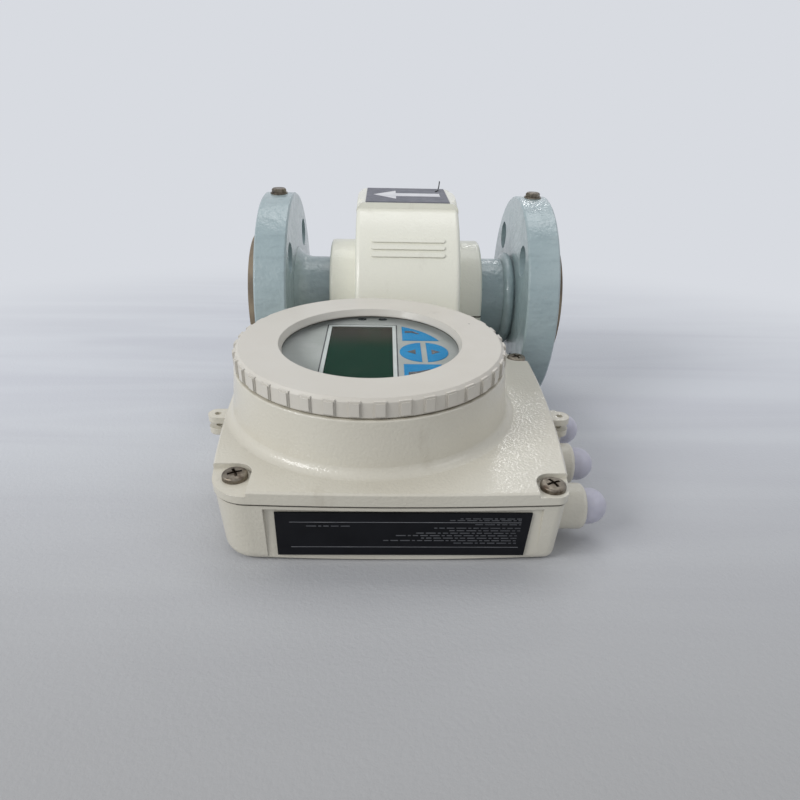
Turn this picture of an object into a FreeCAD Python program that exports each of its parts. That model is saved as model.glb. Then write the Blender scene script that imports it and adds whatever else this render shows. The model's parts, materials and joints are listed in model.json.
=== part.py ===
import FreeCAD, Part
import math
import os

# Electromagnetic flow meter with a flanged measuring tube and a transmitter head that carries a round,
# screwed display cover. Millimetres. The origin is the centre of the flow bore. +X runs along the pipe
# towards the inlet, +Z points out of the display, and the head stands off the sensor along -Y.

# ---- Pipe run -----------------------------------------------------------------------------------
face_to_face = 208.0      # over the liner's flared ends
bore_d = 38.0
liner_wall = 3.2
flare_d = 85.0
flare_t = 6.0
tube_od = 56.0
press_gap = 0.1           # radial gap that stands for an interference fit
flange_d = 140.0
flange_t = 20.0
bolt_circle_d = 105.0
bolt_hole_d = 19.0
bolt_count = 4
raised_face_t = 3.0
rim_chamfer = 1.0
bead_width = 7.0          # round weld between the tube and the inlet's flange
bead_height = 4.2
bead_root = 0.5           # how far the bead's edge stands off the flange
bead_root_h = 1.5
fillet_length = 10.0      # hollow weld between the tube and the outlet's flange, along the tube
fillet_height = 6.5
fillet_sag_x = 4.5        # the point that the fillet's arc runs through, from the flange and the tube
fillet_sag_r = 2.0
earth_screw_r = 2.5
earth_head_r = 4.8
earth_head_h = 2.6
earth_crown_r = 6.5       # of the sphere that rounds the head off
earth_screw_length = 11.0
earth_hole_depth = 12.0
earth_washer_t = 0.8
earth_washer_r = 5.6
earth_washer_play = 0.2
earth_washer_sink = 0.5   # the washer's edge bends down to the round rim

# ---- Sensor housing -----------------------------------------------------------------------------
drum_r = 72.0
drum_width = 65.0
drum_wall = 5.0
drum_edge_r = 3.0
collar_r = 40.0
collar_reach = 51.0       # from the middle of the meter to the end of each collar
collar_wall = 3.5
collar_edge_r = 2.0
pad_drop = 2.0            # from the drum's crest down to the label pad
pad_width = 55.0
pad_edge_r = 5.0
rear_drop = 3.0           # from the drum's lowest line up to its rear flat
rib_count = 3
rib_length = 45.5
rib_width = 2.8
rib_height = 0.9
rib_angle = 47.9          # of the middle rib, from +Z towards the head
rib_pitch = 4.8
shell_gasket_t = 1.0
shell_screw_x = 22.0
shell_screw_inset = 17.0  # from the drum's side
shell_screw_r = 2.5
shell_boss_r = 7.0
shell_screw_play = 0.3
shell_thread_depth = 24.0
shell_head_r = 4.5
shell_head_h = 4.0
shell_head_play = 0.5
shell_key_r = 2.2         # hexagon socket in the screw's head
shell_key_depth = 2.4
shell_seat_depth = 2.0
yoke_gap = 2.0            # inside the drum's wall
yoke_t = 3.0
yoke_width = 36.0
yoke_play = 0.3
coil_r = 22.0
coil_t = 14.0
coil_edge = 1.5
pole_r = 9.0
pole_play = 0.05
pole_shoe_t = 3.0
coil_clear = 1.0          # between the coil and the pole's shoe
electrode_r = 2.5
electrode_head_r = 5.0
electrode_recess = 0.3
electrode_length = 24.0
electrode_head_t = 1.5
electrode_nut_r = 5.5
electrode_nut_t = 3.8
sleeve_r = 4.5
sleeve_cap_r = 7.0
sleeve_cap_t = 3.8
sleeve_gap = 0.2
sleeve_step = 1.0         # how far the stem runs into the cap
label_width = 53.5
label_length = 53.0
label_t = 0.5

# ---- Neck ---------------------------------------------------------------------------------------
neck_z = -30.5
neck_r = 12.0
neck_wall = 3.2
neck_run_gap = 0.05
neck_boss_r = 21.0
neck_boss_rise = 4.0      # of the boss on the sensor housing, off the drum
neck_seat = 10.0
neck_ring_t = 3.7
neck_ring_r = 17.5
socket_wall = 2.9
socket_length = 20.0
socket_edge_r = 2.0
clip_t = 1.6
clip_r = 12.8
clip_play = 0.3           # between the socket and the clip
clip_groove = 1.0
clip_opening = 6.0
neck_tail = 1.5           # beyond the clip
seal_ring_r = 1.2         # section radius of the neck seal
seal_fit = 0.1            # between the seal and the socket's bore
seal_play = 0.2
head_gap = 0.3            # between the neck's ring and the transmitter housing

# ---- Transmitter housing ------------------------------------------------------------------------
case_x = -11.0            # middle of the housing
case_depth = 154.3        # from the back wall to the front corners
case_half_back = 83.4
case_half_mid = 82.9
case_half_front = 74.6
case_mid_back = 78.0      # from the back wall to where the middle width is taken
case_bow = 2.2            # how far the front stands out in its middle
corner_small_r = 5.5
corner_large_r = 17.0
corner_least_r = 1.0      # inside the housing
corner_reach = 12.0       # an upright edge this near to a corner belongs to it
lid_top_z = -7.5
lid_lip = 6.3             # depth of the front shell's lip
lid_t = 3.5
lid_edge = 0.8
gasket_t = 1.2
gasket_inset = 0.9
base_inset = 0.7
base_draft = 1.6          # inward lean of the base over its height
base_bottom_z = -46.7
base_edge_r = 5.0
wall = 3.2
lug_back = 80.0           # from the back wall to the lugs
lug_reach = 10.0
lug_width = 10.0
lug_t = 3.4
lug_eye_r = 1.6
lug_drop = 3.0            # from the front shell down to the rear shell's lugs
lug_root = 4.0            # how far a lug's root runs into the housing
gland_z = -31.0
gland_front = 24.8        # from the front corners to the first cable entry
gland_pitch = 36.0
gland_count = 3
gland_boss_r = 10.7
gland_reach = 11.2        # beyond the housing's side
gland_thread_r = 8.0
plug_dome_r = 8.4
plug_collar_h = 2.8       # the straight part below the dome
plug_stub = 11.0
gland_edge_r = 2.2
gland_root = 8.0          # how far the boss runs into the housing
screw_r = 2.5
screw_play = 0.3
screw_head_r = 5.6
screw_head_h = 2.8
screw_length = 24.0
screw_column_r = 6.5
screw_rim_h = 1.2         # the straight part of the head
screw_crown_r = 4.4       # of the shallow crown inside the head's round shoulder
screw_crown_h = 0.35
screw_shoulder = 0.25     # bulge of the shoulder
cross_length = 6.4        # of the recess in the head
cross_width = 1.3
cross_depth = 1.8
cross_turn = 25.0
wide_corner_x = 7.6       # the screw at the widely rounded corner, from the housing's side and front
wide_corner_y = 15.9
front_corner_x = 5.4      # the other front screw
front_corner_y = 9.3
back_corner_x = 5.4       # the back screws
back_corner_y = 8.7
pocket_r = 7.2
pocket_depth = 2.5
pocket_wall = 1.5
pocket_open = 20.0        # how far the pocket runs out through the corner
plate_left_x = -60.2
plate_right_x = 49.5
plate_top_z = -19.0
plate_height = 23.0
plate_t = 1.0
plate_lean = 1.5          # how far the plate's right side leans in
plate_rim = 4.5
plate_bed = 1.4           # depth of the bed at the foot of the wall
plate_bed_low = 0.8       # wall left below and above the bed
plate_bed_top = 1.6

# ---- Display cover ------------------------------------------------------------------------------
cover_x = -21.0
cover_back = 70.8         # from the housing's back wall to the cover's axis
cover_top_z = 27.1
cover_ring_h = 9.1
cover_r = 66.0            # between the grip pads
pad_r = 67.1              # over the grip pads
grip_count = 39
grip_share = 0.5          # share of the pitch that a pad takes
grip_phase = -4.6         # angle of the first pad's middle, from the front
grip_height = 7.2
grip_low = 1.0            # from the ring's lower face to the pads
grip_sink = 2.0           # how far a pad's root runs into the ring
grip_step = 0.6           # height of a pad's narrower crown
grip_crown_share = 0.8
grip_crown_low = 0.5
grip_crown_top = 0.7
cover_edge = 1.6
opening_top_r = 45.3
opening_r = 43.9
lip_t = 3.7
window_gasket_t = 0.5
glass_t = 5.0
glass_r = 51.4
retainer_t = 0.9
retainer_inner_r = 50.2
notch_width = 4.0
notch_depth = 1.6
skirt_outer_r = 57.6
skirt_inner_r = 53.6
skirt_length = 10.0
skirt_edge = 0.8
ring_edge = 0.6
glass_play = 0.2
thread_gap = 0.4
cover_gap = 0.3           # between the cover's ring and the housing below it
boss_top_r = 67.3
boss_foot_r = 69.8
boss_foot_z = -3.5
boss_fillet_r = 5.8
boss_inset = 0.6          # the boss ends this far inside the housing's outline
seal_section_r = 1.1
seal_seat_depth = 2.8
seal_seat_play = 0.4
boss_edge = 0.5
ledge_inner_r = 50.0
ledge_z = -4.0

# ---- Display and electronics --------------------------------------------------------------------
bezel_r = 49.8
bezel_t = 1.6
bezel_gap = 0.6           # between the bezel and the glass
lcd_x = -5.3              # from the cover's axis
lcd_y = 0.6
lcd_width = 33.0
lcd_length = 67.5
lcd_gap = 0.1
key_x = 26.7              # middle of the round key pair, from the cover's axis
key_y = -0.7
key_r = 12.2
key_split = 2.8
key_field_r = 38.0
key_field_x = 16.2
key_field_y = 15.0
key_field_gap = 14.6
key_t = 0.2
lamp_y = 45.4
lamp_spacing = 11.6
lamp_length = 4.6
lamp_width = 3.0
display_board_r = 48.0
board_hole_r = 1.6
board_hole_place = 43.0
board_t = 1.6
carrier_r = 51.5
carrier_flange_r = 57.0
carrier_wall = 2.2
carrier_flange_t = 3.0
carrier_floor_t = 2.4
carrier_play = 0.4
main_board_x = 104.0
main_board_y = 92.0
main_board_z = -35.0
main_board_shift_x = -10.0
main_board_shift_y = -8.0
post_r = 3.5
post_inset = 6.0
block_x = 16.0
block_y = 76.0
block_h = 13.0
block_edge = 3.0
block_shift = 8.0
terminal_count = 10
mouth_depth = 6.0         # of a terminal's wire mouth
mouth_width = 4.0
mouth_low = 2.0
well_r = 2.0              # of a terminal's screw well
well_depth = 4.0
well_inset = 6.0
module_x = 46.0
module_y = 48.0
module_h = 15.0
module_edge_r = 2.0
module_inset = 8.0
module_shift = -4.0

# ---- Places that follow from the sizes above ----------------------------------------------------
bore_r = bore_d / 2
liner_r = bore_r + liner_wall
tube_r = tube_od / 2
tube_inner_r = liner_r + press_gap
flange_r = flange_d / 2
flare_x = face_to_face / 2 - flare_t
rim_out_x = flare_x - raised_face_t
rim_in_x = rim_out_x - flange_t
pad_z = drum_r - pad_drop
rear_flat_z = rear_drop - drum_r
shell_screw_y = drum_r - shell_screw_inset
yoke_r = drum_r - drum_wall - yoke_gap
neck_inner_r = neck_r - neck_wall
neck_boss_y = -drum_r - neck_boss_rise
neck_ring_y = neck_boss_y - neck_ring_t
case_back_y = neck_ring_y - head_gap
case_front_y = case_back_y - case_depth
case_mid_y = case_back_y - case_mid_back
lug_y = case_back_y - lug_back
gland_first_y = case_front_y + gland_front
cover_y = case_back_y - cover_back
lid_low_z = lid_top_z - lid_lip
base_top_z = lid_low_z - gasket_t
ring_low_z = cover_top_z - cover_ring_h
boss_top_z = ring_low_z - cover_gap
gasket_top_z = cover_top_z - lip_t
glass_top_z = gasket_top_z - window_gasket_t
glass_low_z = glass_top_z - glass_t
retainer_low_z = glass_low_z - retainer_t
bezel_top_z = glass_low_z - bezel_gap
bezel_low_z = bezel_top_z - bezel_t
board_low_z = bezel_low_z - board_t
skirt_low_z = ring_low_z - skirt_length
socket_end_y = case_back_y - socket_length
pocket_z = lid_top_z - pocket_depth

X = FreeCAD.Vector(1, 0, 0)
Y = FreeCAD.Vector(0, 1, 0)
Z = FreeCAD.Vector(0, 0, 1)
ZERO = FreeCAD.Vector(0, 0, 0)
REACH = 400.0             # longer than anything in the model, for cutting tools


# ---- Helpers ------------------------------------------------------------------------------------
def point(x, y, z):
    return FreeCAD.Vector(x, y, z)


def closed_wire(path, place):
    """A closed wire through path. place turns a pair into a point, and a (middle, end) step is an arc."""
    start = place(*path[0])
    here = start
    edges = []
    for step in path[1:] + [path[0]]:
        if isinstance(step[0], tuple):
            end = place(*step[1])
            edges.append(Part.Arc(here, place(*step[0]), end).toShape())
        else:
            end = place(*step)
            if (end - here).Length < 1e-6:
                continue
            edges.append(Part.makeLine(here, end))
        here = end
    return Part.Wire(edges)


def turned_x(path):
    """The (x, radius) path turned about the pipe's axis."""
    face = Part.Face(closed_wire(path, lambda x, r: point(x, 0, r)))
    return face.revolve(ZERO, X, 360)


def turned_z(path, x=None, y=None):
    """The (radius, z) path turned about an upright axis, which is the cover's if none is given."""
    x = cover_x if x is None else x
    y = cover_y if y is None else y
    face = Part.Face(closed_wire(path, lambda r, z: point(x + r, y, z)))
    return face.revolve(point(x, y, 0), Z, 360)


def turned_y(path, z):
    """The (y, radius) path turned about an axis along Y at the height z."""
    face = Part.Face(closed_wire(path, lambda y, r: point(r, y, z)))
    return face.revolve(point(0, 0, z), Y, 360)


def rod(radius, start, end):
    """A cylinder from one point to another."""
    return Part.makeCylinder(radius, (end - start).Length, start, end - start)


def hexagon_prism(radius, foot, height):
    corners = [(radius * math.cos(math.radians(a)), radius * math.sin(math.radians(a)))
               for a in range(0, 360, 60)]
    return Part.Face(closed_wire(corners, lambda u, v: foot + X * u + Y * v)).extrude(Z * height)


def block(x0, x1, y0, y1, z0, z1):
    return Part.makeBox(x1 - x0, y1 - y0, z1 - z0, point(x0, y0, z0))


def ring_z(outer_r, inner_r, z0, z1, x=None, y=None):
    return turned_z([(inner_r, z0), (outer_r, z0), (outer_r, z1), (inner_r, z1)], x, y)


def merged(shapes):
    """The shapes fused into one solid, with its seams removed."""
    whole = shapes[0]
    if len(shapes) > 1:
        whole = whole.multiFuse(shapes[1:])
    return whole.removeSplitter()


def edges_where(shape, test):
    """The shape's edges whose two ends and middle all pass the test."""
    found = []
    for edge in shape.Edges:
        low, high = edge.ParameterRange
        if all(test(edge.valueAt(at)) for at in (low, (low + high) / 2, high)):
            found.append(edge)
    return found


def mirrored_x(shape):
    return shape.mirror(ZERO, X)


# ---- Pipe run -----------------------------------------------------------------------------------
def make_flow_tube():
    """The tube with its welds: a round bead at the inlet's flange and a hollow fillet at the outlet's."""
    bead_x = rim_in_x - bead_root
    tube = turned_x([
        (-flare_x, tube_inner_r),
        (flare_x, tube_inner_r),
        (flare_x, tube_r),
        (rim_in_x, tube_r),
        (rim_in_x, tube_r + bead_root_h),
        (bead_x, tube_r + bead_root_h),
        ((bead_x - bead_width / 2, tube_r + bead_height), (bead_x - bead_width, tube_r)),
        (fillet_length - rim_in_x, tube_r),
        ((fillet_sag_x - rim_in_x, tube_r + fillet_sag_r), (-rim_in_x, tube_r + fillet_height)),
        (-rim_in_x, tube_r),
        (-flare_x, tube_r),
    ])
    for side in (1, -1):
        tube = tube.cut(rod(sleeve_r + press_gap, ZERO, Z * side * drum_r))
    return tube


def make_flange():
    """The inlet's flange: a disc with a raised face, four bolt holes and the earthing screw's hole."""
    seat_r = tube_r + press_gap
    body = turned_x([
        (rim_in_x, seat_r),
        (rim_in_x, flange_r - rim_chamfer),
        (rim_in_x + rim_chamfer, flange_r),
        (rim_out_x - rim_chamfer, flange_r),
        (rim_out_x, flange_r - rim_chamfer),
        (rim_out_x, flare_d / 2),
        (flare_x, flare_d / 2),
        (flare_x, seat_r),
    ])
    for number in range(bolt_count):
        turn = math.radians((number + 0.5) * 360 / bolt_count)
        spot = point(0, bolt_circle_d / 2 * math.cos(turn), bolt_circle_d / 2 * math.sin(turn))
        body = body.cut(rod(bolt_hole_d / 2, spot, spot + X * REACH))
    return body.cut(rod(earth_screw_r, earth_spot() - Z * earth_hole_depth, earth_spot() + Z * flange_t))


def earth_spot():
    """Where the earthing screw enters the rim of the inlet's flange."""
    return point((rim_in_x + rim_out_x) / 2, 0, flange_r)


def make_liner():
    """The lining of the bore, without its flared ends."""
    liner = turned_x([(-flare_x, bore_r), (flare_x, bore_r), (flare_x, liner_r), (-flare_x, liner_r)])
    for side in (1, -1):
        liner = liner.cut(rod(electrode_r, ZERO, Z * side * drum_r))
        liner = liner.cut(rod(electrode_head_r, ZERO, Z * side * (bore_r + electrode_head_t)))
    return liner


def make_flare():
    """The lining's flared end over the inlet's raised face."""
    end_x = face_to_face / 2
    return turned_x([(flare_x, bore_r), (end_x, bore_r), (end_x, flare_d / 2), (flare_x, flare_d / 2)])


def make_earth_screw():
    """A hexagon screw with a domed head that stands on the washer."""
    foot = earth_spot() + Z * earth_washer_t
    head = hexagon_prism(earth_head_r, foot, earth_head_h)
    head = head.common(Part.makeSphere(earth_crown_r, foot - Z * earth_head_h))
    return merged([head, rod(earth_screw_r, foot - Z * earth_screw_length, foot)])


def make_earth_washer():
    low = earth_spot() - Z * earth_washer_sink
    foot = earth_spot() + Z * earth_washer_t
    disc = rod(earth_washer_r, low, foot)
    disc = disc.cut(rod(earth_screw_r + earth_washer_play, low - Z, foot + Z))
    return disc.cut(turned_x([(0, 0), (REACH, 0), (REACH, flange_r), (0, flange_r)]))


# ---- Sensor housing -----------------------------------------------------------------------------
def shell_body():
    """The whole housing before it is split: drum, collars, label pad, neck boss and the hollow inside."""
    half = drum_width / 2
    drum = Part.makeCylinder(drum_r, drum_width, point(-half, 0, 0), X)
    drum = drum.makeFillet(drum_edge_r, edges_where(drum, lambda p: abs(abs(p.x) - half) < 1e-6))
    drum = drum.common(block(-half, half, -drum_r, drum_r, rear_flat_z, pad_z))
    pad = block(-half, half, -pad_width / 2, pad_width / 2, 0, pad_z)
    pad = pad.makeFillet(pad_edge_r, edges_where(
        pad, lambda p: abs(p.z - pad_z) < 1e-6 and abs(abs(p.x) - half) < 1e-6))
    parts = [drum, pad, rod(neck_boss_r, point(0, -drum_r / 2, neck_z), point(0, neck_boss_y, neck_z))]
    for side in (1, -1):
        collar = rod(collar_r, ZERO, X * side * collar_reach)
        end = edges_where(collar, lambda p: abs(p.x) > collar_reach - 0.01)
        parts.append(collar.makeFillet(collar_edge_r, end))
    parts += [make_rib(number) for number in range(rib_count)]
    inner = half - drum_wall
    collar_end = collar_reach - collar_wall
    hollow = merged([
        turned_x([(-inner, 0), (inner, 0), (inner, drum_r - drum_wall), (-inner, drum_r - drum_wall)]),
        turned_x([(-collar_end, 0), (collar_end, 0),
                  (collar_end, collar_r - collar_wall), (-collar_end, collar_r - collar_wall)]),
    ])
    hollow = hollow.common(block(-REACH, REACH, -REACH, REACH, rear_flat_z + collar_wall, REACH))
    body = merged(parts).cut(hollow)
    columns = [shell_column(x, y).common(hollow) for x, y in shell_screw_spots()]
    body = merged([body] + columns)
    body = body.cut(rod(tube_r + press_gap, -X * REACH, X * REACH))
    body = body.cut(rod(neck_r, point(0, neck_boss_y, neck_z), point(0, neck_boss_y + neck_seat, neck_z)))
    return body.cut(rod(neck_inner_r, point(0, neck_boss_y, neck_z), point(0, -tube_r, neck_z)))


def make_rib(number):
    """One of the bars across the drum, with round ends."""
    reach = rib_length / 2 - rib_width / 2
    foot = drum_r - drum_wall / 2
    crest = drum_r + rib_height
    bar = merged([
        block(-reach, reach, -rib_width / 2, rib_width / 2, foot, crest),
        rod(rib_width / 2, point(-reach, 0, foot), point(-reach, 0, crest)),
        rod(rib_width / 2, point(reach, 0, foot), point(reach, 0, crest)),
    ])
    step = math.degrees(rib_pitch / drum_r) * (number - (rib_count - 1) / 2)
    bar.rotate(ZERO, X, rib_angle + step)
    return bar


def shell_screw_spots():
    return [(x, y) for x in (-shell_screw_x, shell_screw_x) for y in (-shell_screw_y, shell_screw_y)]


def shell_column(x, y):
    return rod(shell_boss_r, point(x, y, -drum_r), point(x, y, drum_r))


def shell_head_z():
    """The seat of the housing's screw heads, below the drum's surface."""
    return shell_seat_depth - math.sqrt(drum_r ** 2 - (shell_screw_y + shell_boss_r) ** 2)


def make_shell(side):
    """The front (side 1) or rear (side -1) half of the sensor housing."""
    gap = shell_gasket_t / 2
    near, far = (gap, REACH) if side > 0 else (-REACH, -gap)
    half = shell_body().common(block(-REACH, REACH, -REACH, REACH, near, far))
    for x, y in shell_screw_spots():
        if side > 0:
            half = half.cut(rod(shell_screw_r, point(x, y, 0), point(x, y, shell_thread_depth)))
        else:
            seat_r = shell_head_r + shell_head_play
            half = half.cut(rod(shell_screw_r + shell_screw_play, point(x, y, 0), point(x, y, -REACH)))
            half = half.cut(rod(seat_r, point(x, y, shell_head_z()), point(x, y, -REACH)))
    return half


def make_shell_gasket():
    gap = shell_gasket_t / 2
    seal = shell_body().common(block(-REACH, REACH, -REACH, REACH, -gap, gap))
    for x, y in shell_screw_spots():
        seal = seal.cut(rod(shell_screw_r + shell_screw_play, point(x, y, -gap), point(x, y, gap)))
    return seal


def make_shell_screws():
    seat = shell_head_z()
    screws = []
    for x, y in shell_screw_spots():
        face = point(x, y, seat - shell_head_h)
        head = rod(shell_head_r, face, point(x, y, seat))
        head = head.cut(hexagon_prism(shell_key_r, face, shell_key_depth))
        shank = rod(shell_screw_r, point(x, y, seat), point(x, y, shell_thread_depth - 2 * shell_seat_depth))
        screws.append(merged([head, shank]))
    return Part.makeCompound(screws)


def make_yoke():
    """The ring that closes the field around the tube, with a gap for each screw column and the neck."""
    half = yoke_width / 2
    inner = yoke_r - yoke_t
    ring = turned_x([(-half, inner), (half, inner), (half, yoke_r), (-half, yoke_r)])
    low = rear_flat_z + collar_wall + yoke_play
    ring = ring.common(block(-REACH, REACH, -REACH, REACH, low, REACH))
    for x, y in shell_screw_spots():
        ring = ring.cut(rod(shell_boss_r + yoke_play, point(x, y, -REACH), point(x, y, REACH)))
    return ring.cut(rod(neck_inner_r, point(0, 0, neck_z), point(0, -REACH, neck_z)))


def make_pole(side):
    """The iron core of one coil, from its shoe on the tube to the yoke."""
    foot = tube_r + pole_shoe_t
    core = rod(pole_r, Y * side * (foot - pole_shoe_t / 2), Y * side * (yoke_r - yoke_t))
    shoe = rod(coil_r, ZERO, Y * side * foot).cut(rod(tube_r + press_gap, -X * REACH, X * REACH))
    return merged([core, shoe]).common(rod(yoke_r - yoke_t - pole_play, -X * coil_r, X * coil_r))


def make_coil(side):
    """A wound ring around the pole, between the pole's shoe and the yoke."""
    start = tube_r + pole_shoe_t + coil_clear
    end = start + coil_t
    hole = pole_r + press_gap
    return turned_y([
        (side * start, hole), (side * start, coil_r - coil_edge), (side * (start + coil_edge), coil_r),
        (side * (end - coil_edge), coil_r), (side * end, coil_r - coil_edge), (side * end, hole),
    ], 0)


def make_electrode(side):
    """A pin with a flat head that lies just below the wall of the bore."""
    tip = bore_r + electrode_recess
    nut_foot = tube_r + sleeve_gap + sleeve_cap_t + sleeve_gap
    head = rod(electrode_head_r - press_gap, Z * side * tip, Z * side * (bore_r + electrode_head_t))
    pin = rod(electrode_r, Z * side * tip, Z * side * (tip + electrode_length))
    nut = rod(electrode_nut_r, Z * side * nut_foot, Z * side * (nut_foot + electrode_nut_t))
    return merged([head, pin, nut])


def make_sleeve(side):
    """The insulating bush between an electrode and the tube."""
    cap_foot = tube_r + sleeve_gap
    stem = rod(sleeve_r, Z * side * (liner_r + sleeve_gap), Z * side * (cap_foot + sleeve_step))
    cap = rod(sleeve_cap_r, Z * side * cap_foot, Z * side * (cap_foot + sleeve_cap_t))
    return merged([stem, cap]).cut(rod(electrode_r + press_gap, ZERO, Z * side * REACH))


def make_label():
    x, y = label_width / 2, label_length / 2
    return block(-x, x, -y, y, pad_z, pad_z + label_t)


# ---- Neck ---------------------------------------------------------------------------------------
def make_neck():
    """A turned tube whose ring stands between the two housings, with a groove for the seal."""
    outer = neck_r - neck_run_gap
    foot = neck_boss_y + neck_seat
    clip_y = socket_end_y - clip_play
    clip_end = clip_y - clip_t
    tip = clip_end - neck_tail
    groove = seal_y()
    width = seal_ring_r + seal_play
    bottom = seal_middle_r() - seal_ring_r - neck_run_gap
    return turned_y([
        (foot, neck_inner_r), (foot, outer), (neck_boss_y, outer), (neck_boss_y, neck_ring_r),
        (neck_ring_y, neck_ring_r), (neck_ring_y, outer),
        (groove + width, outer), (groove + width, bottom), (groove - width, bottom), (groove - width, outer),
        (clip_y, outer), (clip_y, outer - clip_groove), (clip_end, outer - clip_groove), (clip_end, outer),
        (tip, outer), (tip, neck_inner_r),
    ], neck_z)


def seal_y():
    return (case_back_y + socket_end_y) / 2


def seal_middle_r():
    return neck_r - seal_fit - seal_ring_r


def make_neck_seal():
    return Part.makeTorus(seal_middle_r(), seal_ring_r, point(0, seal_y(), neck_z), Y)


def make_neck_clip():
    """The spring clip behind the socket, open at one side."""
    start = socket_end_y - clip_play
    inner = neck_r - neck_run_gap - clip_groove + press_gap
    end = start - clip_t
    clip = turned_y([(start, inner), (start, clip_r), (end, clip_r), (end, inner)], neck_z)
    return clip.cut(block(-clip_opening / 2, clip_opening / 2, -REACH, REACH, neck_z, REACH))


# ---- Transmitter housing ------------------------------------------------------------------------
def case_half(y):
    """Half the housing's width at a place along its side, on a curve through its three given widths."""
    known = [(case_back_y, case_half_back), (case_mid_y, case_half_mid), (case_front_y, case_half_front)]
    half = 0.0
    for here, width in known:
        for other, _ in known:
            if other != here:
                width *= (y - other) / (here - other)
        half += width
    return half


def case_outline(inset, z):
    """The housing's plan, drawn in by inset on every side."""
    back = case_back_y - inset
    front = case_front_y + inset
    ends = front + case_bow
    side = [case_half(y) - inset for y in (back, case_mid_y, ends)]
    place = lambda u, v: point(case_x + u, v, z)
    return closed_wire([
        (-side[0], back), (side[0], back),
        ((side[1], case_mid_y), (side[2], ends)),
        ((0, front), (-side[2], ends)),
        ((-side[1], case_mid_y), (-side[0], back)),
    ], place)


def case_solid(top_z, top_inset, low_z, low_inset):
    """A block of the housing's plan with its four upright corners rounded."""
    solid = Part.makeLoft([case_outline(top_inset, top_z), case_outline(low_inset, low_z)], True, True)
    front_y = case_front_y + case_bow
    front, back = case_half(front_y), case_half_back
    small = [(front, front_y), (back, case_back_y), (-back, case_back_y)]
    for spots, radius in (([(-front, front_y)], corner_large_r), (small, corner_small_r)):
        edges = [edge for edge in solid.Edges if any(stands_at(edge, u, v) for u, v in spots)]
        solid = solid.makeFillet(max(radius - top_inset, corner_least_r), edges)
    return solid


def stands_at(edge, u, v):
    """Whether an edge runs upright at a corner of the housing's plan."""
    ends = (edge.Vertexes[0].Point, edge.Vertexes[-1].Point)
    near = all(math.hypot(p.x - case_x - u, p.y - v) < corner_reach for p in ends)
    return near and abs(ends[0].z - ends[1].z) > 0.1


def case_screw_spots():
    """The four corner screws: front left, front right, back right, back left."""
    back_x, back_y = case_half_back - back_corner_x, case_back_y - back_corner_y
    return [
        (case_x - case_half_front + wide_corner_x, case_front_y + wide_corner_y),
        (case_x + case_half_front - front_corner_x, case_front_y + front_corner_y),
        (case_x + back_x, back_y),
        (case_x - back_x, back_y),
    ]


def lug(side, top_z):
    """A flat ear on the housing's side, with a round end and an eye for a seal wire."""
    root = case_x + side * (case_half(lug_y) - lug_root)
    tip = case_x + side * (case_half(lug_y) + lug_reach - lug_width / 2)
    tab = merged([
        block(min(root, tip), max(root, tip), lug_y - lug_width / 2, lug_y + lug_width / 2,
              top_z - lug_t, top_z),
        Part.makeCylinder(lug_width / 2, lug_t, point(tip, lug_y, top_z - lug_t)),
    ])
    return tab.cut(Part.makeCylinder(lug_eye_r, REACH, point(tip, lug_y, -REACH / 2)))


def gland_spots():
    """The y of each cable entry, from the front."""
    return [gland_first_y + number * gland_pitch for number in range(gland_count)]


def gland_end_x(y):
    return case_x + case_half(y) + gland_reach


def gland_boss(y):
    end = gland_end_x(y)
    boss = rod(gland_boss_r, point(end - gland_reach - gland_root, y, gland_z), point(end, y, gland_z))
    return boss.makeFillet(gland_edge_r, edges_where(boss, lambda p: p.x > end - 0.01))


def make_base():
    """The deep rear shell: drafted walls, screw columns, cable entries, neck socket and lugs."""
    leaned = base_inset + base_draft
    outer = case_solid(base_top_z, base_inset, base_bottom_z, leaned)
    outer = outer.makeFillet(base_edge_r, edges_where(outer, lambda p: abs(p.z - base_bottom_z) < 1e-4))
    inner = case_solid(base_top_z + 1, base_inset + wall, base_bottom_z + wall, leaned + wall)
    inside = case_solid(base_top_z + 1, base_inset + wall / 2, base_bottom_z, leaned + wall / 2)
    socket = rod(neck_r + socket_wall, point(0, case_back_y, neck_z), point(0, socket_end_y, neck_z))
    socket = socket.makeFillet(socket_edge_r, edges_where(socket, lambda p: p.y < socket_end_y + 0.01))
    ears = [lug(side, lid_low_z - lug_drop) for side in (1, -1)]
    glands = [gland_boss(y) for y in gland_spots()]
    foot = base_bottom_z + wall / 2
    columns = [rod(screw_column_r, point(x, y, foot), point(x, y, base_top_z))
               for x, y in case_screw_spots()]
    columns += [rod(post_r, point(x, y, foot), point(x, y, main_board_z)) for x, y in board_post_spots()]
    shell = merged([outer, socket] + ears + glands).cut(inner)
    shell = merged([shell, socket] + [column.common(inside) for column in columns])
    shell = shell.common(block(-REACH, REACH, -REACH, REACH, -REACH, base_top_z))
    shell = shell.cut(rod(neck_r, point(0, case_back_y, neck_z), point(0, socket_end_y - wall, neck_z)))
    for y in gland_spots():
        mouth = point(gland_end_x(y), y, gland_z)
        shell = shell.cut(rod(gland_thread_r, mouth - X * (gland_reach + gland_root), mouth))
    for x, y in case_screw_spots():
        shell = shell.cut(rod(screw_r, point(x, y, base_top_z), point(x, y, pocket_z - screw_length)))
    return shell.cut(plate_recess())


def plate_recess():
    """The shallow bed for the nameplate in the base's front wall."""
    return block(plate_left_x - plate_rim, plate_right_x + plate_rim, case_front_y - REACH, plate_back_y(),
                 base_bottom_z + plate_bed_low, base_top_z - plate_bed_top)


def plate_back_y():
    return case_front_y + base_inset + base_draft + plate_bed


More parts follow.
